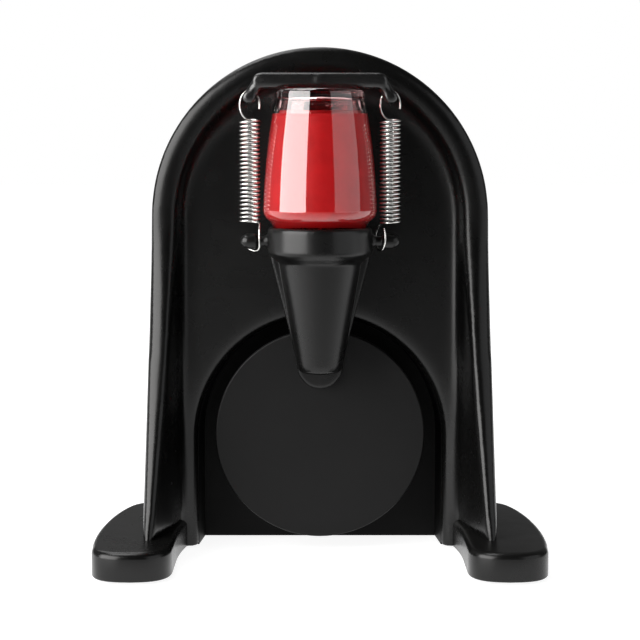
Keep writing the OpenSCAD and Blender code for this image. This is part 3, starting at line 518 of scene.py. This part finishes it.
finishNodes = {
    "housingPlastic": ("housing", "shell", "foot_left", "foot_right"),
    # drive_frame, the niche's back wall, takes the darker tone as painted shade
    "nicheShadePlastic": ("drive_frame",),
    "discPlastic": ("disc",),
    "holderPlastic": ("holder", "carrier"),
    "bailPlastic": ("bail",),
    "coverPlastic": ("rear_cover",),
    "doorPlastic": ("battery_door",),
    "trayPlastic": ("battery_tray", "brush"),
    "capPlastic": ("cap", "switch_body"),
    "rockerPlastic": ("rocker",),
    "rubberPad": ("foot_pads",),
    "gearPlastic": ("middle_gear", "crank_gear"),
    "screwSteel": ("cover_screws", "door_screw", "plate_screws", "head_screws"),
    "shaftSteel": ("motor_shaft", "gear_pin", "crank", "idler_left", "idler_right"),
    "plateSteel": ("motor_plate", "counterweight", "clip_left", "clip_right"),
    "motorSteel": ("motor",),
    "contactSteel": ("contacts",),
    "springSteel": ("spring_left", "spring_right"),
    "bushBronze": ("bushes",),
    "pinionBrass": ("pinion",),
    "cellSleeve": ("cells",),
    "bottleGlass": ("bottle",),
    "redPolish": ("polish",),
}

for finish, names in finishNodes.items():
    for name in names:
        slots = nodes[name].material_slots
        if not slots:
            nodes[name].data.materials.append(materials[finish])
        for slotItem in slots:
            slotItem.material = materials[finish]
print("finishes assigned")


def linkObject(mesh, name):
    obj = bpy.data.objects.new(name, mesh)
    bpy.context.scene.collection.objects.link(obj)
    return obj


def objectFrom(bm, name):
    mesh = bpy.data.meshes.new(name)
    bm.to_mesh(mesh)
    bm.free()
    return linkObject(mesh, name)


def bakeModifiers(obj):
    graph = bpy.context.evaluated_depsgraph_get()
    mesh = bpy.data.meshes.new_from_object(obj.evaluated_get(graph))
    obj.modifiers.clear()
    obj.data = mesh
    return obj


frontSettings = {
    "archRadius": 54.0,
    "archZ": 109.0,
    "flare": 1.5,           # how much wider the legs stand at the floor
    "rimWidth": 7.8,
    "panelY": 6.05,
    "nicheRadius": 39.8,
    "crankZ": 36.8,
    "footTop": 10.0,
    "legInside": 43.4,
    "roll": 1.5,            # how far the rim's face falls back towards its outer edge
    "rollDepth": 9.0,       # the wall behind the rim takes this up
    "rollCurve": 1.6,
    "sink": 2.4,            # how far the legs' lower ends go down into the feet
    "grid": 0.78,           # net on which the moulding's edges are softened
    "edgePasses": 50,       # rounding of the rim's edges
    "covePasses": 60,       # rounding of the valley between the rim and the panel
    # where the valley's rounding starts and ends, in millimetres
    "coveStart": (-4.5, -1.5),  # past the rim
    "coveEnd": (5.0, 8.0),
    "coveDepth": (-9.0, 0.0),
    "coveBack": (0.4, 1.6),     # behind the panel
    "coveNiche": (1.5, 4.5),    # from the niche edge
    "coveFoot": (0.6, 3.0),     # above the feet
}

footSettings = {
    "inner": 45.3,          # inner and outer side at the front
    "outer": 70.0,
    "front": -43.45,
    "noseDepth": 12.5,
    "noseShape": 2.5,       # 2 is an ellipse, more is squarer
    "widest": (72.0, -14.0),    # this and the waist pull the side's curve
    "waist": (70.2, 12.0),
    "tail": (65.9, 27.0),
    "tailPull": 6.5,
    "end": (55.3, 37.2),
    "panelY": 6.05,
    "mouth": 43.4,          # inner side at the panel
    "bow": 22.0,            # the inner side is bowed over this length
    "low": 1.0,
    "high": 10.0,
    "topEdge": 2.0,
    "bottomEdge": 0.6,
    "segments": 5,
}

creaseAngle = 38.0      # faces that meet more sharply keep their edge


# Copy of a solid with its doubles merged and its flat faces joined, ready for rounded edges
def mergedCopy(node, name):
    bm = bmesh.new()
    bm.from_mesh(nodes[node].data)
    bmesh.ops.remove_doubles(bm, verts=bm.verts, dist=0.002 * mm)
    bmesh.ops.dissolve_limit(bm, angle_limit=math.radians(0.4), verts=bm.verts, edges=bm.edges)
    return objectFrom(bm, name)


# Distance of a point from the outline of the arch, from the inside, in millimetres
def outerDistance(point, s):
    x, z = abs(point.x) / mm, point.z / mm
    if z > s["archZ"]:
        return s["archRadius"] - math.hypot(x, z - s["archZ"])
    return s["archRadius"] + s["flare"] * (1 - z / s["archZ"]) - x


def ramp(value, low, high):
    t = min(max((value - low) / (high - low), 0.0), 1.0)
    return t * t * (3 - 2 * t)


# The rim and the legs are all that stands in front of the panel
def rimWeight(point, s):
    ahead = ramp(-point.y / mm, -s["panelY"] - 1.0, -s["panelY"] + 1.0)
    return ahead * ramp(point.z / mm, s["footTop"] - 4, s["footTop"] - 2)


# The valley lies inside the rim and stays clear of the round niche edge
def coveWeight(point, s):
    past = outerDistance(point, s) - s["rimWidth"]
    inside = ramp(past, *s["coveStart"]) * (1 - ramp(past, *s["coveEnd"]))
    niche = math.hypot(point.x / mm, max(point.z / mm - s["crankZ"], 0.0)) - s["nicheRadius"]
    behind = point.y / mm - s["panelY"]
    deep = ramp(point.y / mm, *s["coveDepth"]) * (1 - ramp(behind, *s["coveBack"]))
    above = ramp(point.z / mm - s["footTop"], *s["coveFoot"])
    return inside * deep * ramp(niche, *s["coveNiche"]) * above


# The rim's face is rolled: it turns a little towards the outside
def rimRoll(point, s):
    ahead = min(max((s["panelY"] - point.y / mm) / s["rollDepth"], 0.0), 1.0)
    edge = max(1 - max(outerDistance(point, s), 0.0) / s["rimWidth"], 0.0)
    above = ramp(point.z / mm - s["footTop"], -0.5, 9)
    return s["roll"] * edge ** s["rollCurve"] * ahead * above


# The legs' lower ends go down into the feet, so that no rough edge shows
def legSink(point, s):
    above = point.z / mm - s["footTop"]
    if above <= -2:
        return 0.0
    ahead = ramp(-point.y / mm, -s["panelY"] + 0.5, -s["panelY"] + 2.5)
    beside = ramp(abs(point.x) / mm, s["legInside"], s["legInside"] + 1)
    return s["sink"] * ahead * beside * (1 - ramp(above, 0, 3.5))


# The net is rolled and sunk first, then smoothed zone by zone
def softenMoulding(obj, s):
    net = obj.modifiers.new("net", "REMESH")
    net.mode = "VOXEL"
    net.voxel_size = s["grid"] * mm
    bakeModifiers(obj)
    for v in obj.data.vertices:
        v.co.y += rimRoll(v.co, s) * mm
        v.co.z -= legSink(v.co, s) * mm
    zones = (("rim", rimWeight, s["edgePasses"]), ("cove", coveWeight, s["covePasses"]))
    for label, weigh, passes in zones:
        group = obj.vertex_groups.new(name=label)
        for v in obj.data.vertices:
            weight = weigh(v.co, s)
            if weight > 0.01:
                group.add([v.index], weight, "REPLACE")
        soft = obj.modifiers.new(label, "SMOOTH")
        soft.factor = 0.5
        soft.iterations = passes
        soft.vertex_group = label
    bakeModifiers(obj)
    obj.vertex_groups.clear()


def bezier(a, b, c, d, t):
    u = 1 - t
    return tuple(a * u ** 3 + b * 3 * u * u * t + c * 3 * u * t * t + d * t ** 3)


# Outline of the right foot: a bowed nose, a full outer side, and the body's side wall
def footOutline(s):
    middle, half = (s["inner"] + s["outer"]) / 2, (s["outer"] - s["inner"]) / 2
    power = 2 / s["noseShape"]
    noseY = s["front"] + s["noseDepth"]
    points = []
    for k in range(25):
        a = math.pi * (1 + k / 24)
        x, y = math.cos(a), math.sin(a)
        points.append((middle + half * math.copysign(abs(x) ** power, x),
            noseY - s["noseDepth"] * abs(y) ** power))
    start, widest, waist, tail, end = (Vector(p) for p in
        ((s["outer"], noseY), s["widest"], s["waist"], s["tail"], s["end"]))
    points += [bezier(start, widest, waist, tail, k / 24) for k in range(1, 25)]
    turn = tail + (tail - waist).normalized() * s["tailPull"]
    bend = end + Vector((s["tailPull"], 0))
    points += [bezier(tail, turn, bend, end, k / 12) for k in range(1, 13)]
    points += [(s["end"][0], s["panelY"]), (s["mouth"], s["panelY"])]
    for k in range(1, 10):
        t = k / 10
        points.append((s["inner"] - (s["inner"] - s["mouth"]) * (1 - t) ** 2,
            s["panelY"] - s["bow"] * t))
    return points


# The edges that meet the body stay sharp
def makeFoot(side, name, s):
    outline = footOutline(s)
    bm = bmesh.new()
    low = [bm.verts.new((side * x * mm, y * mm, s["low"] * mm)) for x, y in outline]
    high = [bm.verts.new((side * x * mm, y * mm, s["high"] * mm)) for x, y in outline]
    n = len(outline)
    bm.faces.new(low)
    bm.faces.new(high)
    for k in range(n):
        bm.faces.new((low[k], low[(k + 1) % n], high[(k + 1) % n], high[k]))
    bmesh.ops.recalc_face_normals(bm, faces=bm.faces)
    layer = bm.edges.layers.float.new("bevel_weight_edge")
    for edge in bm.edges:
        a, b = (v.co / mm for v in edge.verts)
        upright = abs(a.z - b.z) > 0.01
        behind = min(a.y, b.y) > s["panelY"] - 0.1
        if upright or behind and abs((a.x + b.x) / 2) < s["end"][0] + 0.1:
            continue
        edge[layer] = 1.0 if a.z > s["low"] + 1 else s["bottomEdge"] / s["topEdge"]
    foot = objectFrom(bm, name)
    mod = foot.modifiers.new("roundedEdges", "BEVEL")
    mod.limit_method = "WEIGHT"
    mod.width = s["topEdge"] * mm
    mod.segments = s["segments"]
    return bakeModifiers(foot)


# Smooth faces, one finish, and the node that the piece stands for
def finishMoulding(piece, node, body, finish):
    piece.data.materials.clear()
    piece.data.materials.append(materials[finish])
    piece.data.polygons.foreach_set("use_smooth", [True] * len(piece.data.polygons))
    piece.data.set_sharp_from_angle(angle=math.radians(creaseAngle))
    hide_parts(node)
    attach(piece, body)


def makeFront():
    front = mergedCopy("housing", "frontMoulding")
    softenMoulding(front, frontSettings)
    finishMoulding(front, "housing", "base", "housingPlastic")
    for side, name, node in ((-1, "footLeft", "foot_left"), (1, "footRight", "foot_right")):
        finishMoulding(makeFoot(side, name, footSettings), node, "base", "housingPlastic")
    print("front moulding faces:", len(front.data.polygons))


makeFront()
print("front edges rounded")

bottleSettings = {
    "axisY": -14.45,
    "collarTop": 106.7,
    "baseTop": 149.3,
    "radius": 17.7,
    "full": 0.75,           # how far the side bulges
    "baseRadius": 13.6,
    "side": 1.8,
    "base": 2.7,
    "airGap": 4.3,
    "neck": 6.4,
    "bore": 4.6,            # inner radius of the neck
    "neckLength": 13.0,
    "cone": 5.4,            # height of the side's lower end over the collar
    "baseEdge": 1.2,        # rounding at the base, and at the shoulder below
    "heel": 4.0,
    "overlap": 0.06,        # how far the polish reaches into the glass
    "segments": 128,
    # radius and height over the collar of the shoulder, outside and inside
    "shoulder": ((14.35, -0.2), (12.0, -1.45), (9.8, -2.6), (7.4, -3.7)),
    "innerShoulder": ((12.2, 1.2), (8.4, -0.6), (6.4, -1.8), (4.7, -3.6), (4.6, -8.0)),
}


def arcPoints(cx, cy, r, start, end, count):
    steps = [math.radians(start + (end - start) * k / count) for k in range(count + 1)]
    return [(cx + r * math.cos(a), cy + r * math.sin(a)) for a in steps]


# Closed solid turned about the bottle's axis from a profile of radius and height
def turnSolid(name, profile, axisY, segments):
    bm = bmesh.new()
    rings = []
    for r, z in profile:
        if r < 1e-6:
            rings.append([bm.verts.new((0, axisY * mm, z * mm))])
            continue
        turns = [2 * math.pi * k / segments for k in range(segments)]
        rings.append([bm.verts.new((r * mm * math.cos(a), (axisY + r * math.sin(a)) * mm, z * mm))
            for a in turns])
    for a, b in zip(rings, rings[1:]):
        for k in range(segments):
            n = (k + 1) % segments
            corners = [a[k % len(a)], a[n % len(a)], b[n % len(b)], b[k % len(b)]]
            face = []
            for v in corners:
                if v not in face:
                    face.append(v)
            if len(face) > 2:
                bm.faces.new(face)
    bmesh.ops.recalc_face_normals(bm, faces=bm.faces)
    solid = objectFrom(bm, name)
    solid.data.polygons.foreach_set("use_smooth", [True] * len(solid.data.polygons))
    return solid


# Radius of the glass at a height: a cone whose side is a little full
def sideRadius(s, z):
    top, low = s["baseTop"] - s["baseEdge"], s["collarTop"] + s["cone"]
    t = (top - z) / (top - low)
    return s["baseRadius"] + (s["radius"] - s["baseRadius"]) * t + s["full"] * 4 * t * (1 - t)


def sidePoints(s, inset, high, low, count=14):
    steps = [high + (low - high) * k / count for k in range(1, count)]
    return [(sideRadius(s, z) - inset, z) for z in steps]


# The bottle stands on its cap, so its base is at the top
def outerBottle(s):
    r, b, c, t = s["radius"], s["baseRadius"], s["collarTop"], s["baseTop"]
    edge, heel = s["baseEdge"], s["heel"]
    base = [(0, t - 0.35), (b * 0.55, t - 0.3), (b - 2.6, t)]
    return (base + arcPoints(b - edge, t - edge, edge, 90, 4, 8)
        + sidePoints(s, 0, t - edge, c + s["cone"] + 1.2)
        + arcPoints(r - heel, c + s["cone"], heel, 7, -62, 20)
        + [(x, c + z) for x, z in s["shoulder"]]
        + [(s["neck"], c - 5.2), (s["neck"], c - s["neckLength"]), (0, c - s["neckLength"])])


def innerBottle(s, spread):
    inset = s["side"] - spread
    r, b = s["radius"] - inset, s["baseRadius"] - inset
    c, t = s["collarTop"], s["baseTop"] - s["base"]
    base = [(0, t - 0.9), (b * 0.4, t - 0.75), (b - 3.4, t - 0.2)]
    return (base + arcPoints(b - 1.8, t - 1.8, 1.8, 90, 4, 8)
        + sidePoints(s, inset, t - 1.8, c + 6.8) + arcPoints(r - 3, c + 5.6, 3, 7, -60, 14)
        + [(x, c + z) for x, z in s["innerShoulder"]])


def finishTurned(piece, node, finish):
    piece.data.materials.append(materials[finish])
    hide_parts(node)
    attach(piece, "head")


def makeBottle(s):
    mouth = (s["bore"], s["collarTop"] - s["neckLength"])
    profile = outerBottle(s)[:-1] + [mouth] + innerBottle(s, 0)[::-1]
    shell = turnSolid("bottleShell", profile, s["axisY"], s["segments"])
    finishTurned(shell, "bottle", "bottleGlass")


# The polish reaches a little into the glass, so that no gap shows between them
def makePolishFill(s):
    level = s["baseTop"] - s["base"] - s["airGap"]
    rim = sideRadius(s, level) - s["side"] + s["overlap"]
    profile = ([(0, level), (rim - 0.9, level), (rim - 0.15, level + 0.25)]
        + [p for p in innerBottle(s, s["overlap"]) if p[1] < level - 0.3]
        + [(0, s["collarTop"] - 8)])
    fill = turnSolid("polishFill", profile, s["axisY"], s["segments"])
    finishTurned(fill, "polish", "redPolish")


makeBottle(bottleSettings)
makePolishFill(bottleSettings)
print("bottle filled")

springSettings = {
    "side": 21.8,
    "coilRadius": 3.05,
    "wire": 0.6,
    "gap": 0.68,
    "curls": 25,
    "coilBase": 107.9,
    "loopLow": 99.3,
    "loopHigh": 148.9,
    "sidesOfWire": 10,
    "stepsPerCurl": 20,
    "hookReach": (235.0, 310.0),    # degrees that the left and the right lower hook go round
    "hookFlare": (5.6, 0.0),        # how far their free ends stand out
    "hookLean": (0.0, 0.5),
    "hookWidth": 2.9,
    "hookOpens": 130.0,     # degrees from which the free end stands out
    "hookCurve": 1.8,
    "highReach": 300.0,     # degrees that the upper hooks go round
    "highHookWidth": 3.1,
    "blendLow": 107.5,      # the coil stretches between these heights
    "blendHigh": 142.0,
}


# Path of one spring: a loop round the ear, the coil, and a loop round the bail's stub
def springPath(side, s):
    x0, y0, r = side * s["side"], bottleSettings["axisY"], s["coilRadius"]
    a0 = math.pi if side > 0 else 0.0
    c = math.cos(a0)
    turns = s["curls"] + (0.75 if side > 0 else 0.25)
    pitch = (s["wire"] + s["gap"]) * s["curls"] / turns
    lowHalf, z0 = (s["coilBase"] - s["loopLow"]) / 2, s["coilBase"]
    z1 = z0 + turns * pitch
    highHalf = (s["loopHigh"] - z1) / 2
    n = s["stepsPerCurl"]
    path = []
    reach, flare, lean = (s[key][side > 0] for key in ("hookReach", "hookFlare", "hookLean"))
    for k in range(n):
        left = reach * (1 - k / n)
        a = -math.radians(left)
        across = c * s["hookWidth"] * math.sin(a)
        opened = max(0.0, left - s["hookOpens"]) / (reach - s["hookOpens"])
        out = flare * opened ** s["hookCurve"] - lean * across * ramp(left, 0, 90)
        path.append((x0 + c * r + side * out, y0 + across, z0 - lowHalf + lowHalf * math.cos(a)))
    for k in range(int(n * turns) + 1):
        a = a0 + 2 * math.pi * k / n
        path.append((x0 + r * math.cos(a), y0 + r * math.sin(a), z0 + pitch * k / n))
    for k in range(1, n):
        a = math.radians(s["highReach"] * k / n)
        path.append((x0 - s["highHookWidth"] * math.sin(a), y0 + r,
            z1 + highHalf - highHalf * math.cos(a)))
    return [Vector(p) * mm for p in path]


# Geometry Nodes: a wire of named thickness along a path of edges
def makeWireTree():
    tree = bpy.data.node_groups.new("wireAlongPath", "GeometryNodeTree")
    for label, kind in (("Geometry", "Geometry"), ("Wire Radius", "Float"), ("Sides", "Int"),
            ("Finish", "Material")):
        tree.interface.new_socket(name=label, in_out="INPUT", socket_type="NodeSocket" + kind)
    tree.interface.new_socket(name="Geometry", in_out="OUTPUT", socket_type="NodeSocketGeometry")
    start = tree.nodes.new("NodeGroupInput")
    end = tree.nodes.new("NodeGroupOutput")
    toCurve = tree.nodes.new("GeometryNodeMeshToCurve")
    circle = tree.nodes.new("GeometryNodeCurvePrimitiveCircle")
    toMesh = tree.nodes.new("GeometryNodeCurveToMesh")
    toMesh.inputs["Fill Caps"].default_value = True
    smooth = tree.nodes.new("GeometryNodeSetShadeSmooth")
    real = tree.nodes.new("GeometryNodeRealizeInstances")
    finish = tree.nodes.new("GeometryNodeSetMaterial")
    link = tree.links.new
    link(start.outputs["Geometry"], toCurve.inputs["Mesh"])
    link(start.outputs["Wire Radius"], circle.inputs["Radius"])
    link(start.outputs["Sides"], circle.inputs["Resolution"])
    link(toCurve.outputs["Curve"], toMesh.inputs["Curve"])
    link(circle.outputs["Curve"], toMesh.inputs["Profile Curve"])
    link(toMesh.outputs["Mesh"], smooth.inputs["Geometry"])
    link(smooth.outputs["Geometry"], real.inputs["Geometry"])
    link(real.outputs["Geometry"], finish.inputs["Geometry"])
    link(start.outputs["Finish"], finish.inputs["Material"])
    link(finish.outputs["Geometry"], end.inputs["Geometry"])
    return tree


def setInput(modifier, tree, label, value):
    for item in tree.interface.items_tree:
        if item.item_type == "SOCKET" and item.in_out == "INPUT" and item.name == label:
            modifier[item.identifier] = value


wireTree = makeWireTree()


def makeSpring(side, name, node, s):
    path = springPath(side, s)
    mesh = bpy.data.meshes.new(name)
    mesh.from_pydata(path, [(k, k + 1) for k in range(len(path) - 1)], [])
    obj = linkObject(mesh, name)
    mod = obj.modifiers.new("wire", "NODES")
    mod.node_group = wireTree
    setInput(mod, wireTree, "Wire Radius", s["wire"] / 2 * mm)
    setInput(mod, wireTree, "Sides", s["sidesOfWire"])
    setInput(mod, wireTree, "Finish", materials["springSteel"])
    bakeModifiers(obj)
    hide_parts(node)
    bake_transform(obj)


softSettings = {
    # name: node, body, finish, grid, smoothing passes, swelling that makes up for the smoothing
    "bailBar": ("bail", "bail_bar", "bailPlastic", 0.22, 64, 0.25),
    "holderCup": ("holder", "head", "holderPlastic", 0.40, 7, 0.05),
}


# A moulded piece with soft edges, from a net over its solid
def makeSoftPiece(name, settings):
    node, body, finish, grid, passes, swell = settings
    piece = mergedCopy(node, name)
    net = piece.modifiers.new("net", "REMESH")
    net.mode = "VOXEL"
    net.voxel_size = grid * mm
    soft = piece.modifiers.new("soft", "SMOOTH")
    soft.factor = 0.5
    soft.iterations = passes
    full = piece.modifiers.new("full", "DISPLACE")
    full.mid_level = 0
    full.strength = swell * mm
    bakeModifiers(piece)
    finishMoulding(piece, node, body, finish)
    print(name, "faces:", len(piece.data.polygons))


for name, values in softSettings.items():
    makeSoftPiece(name, values)

makeSpring(-1, "springLeft", "spring_left", springSettings)
makeSpring(1, "springRight", "spring_right", springSettings)
print("springs wound")
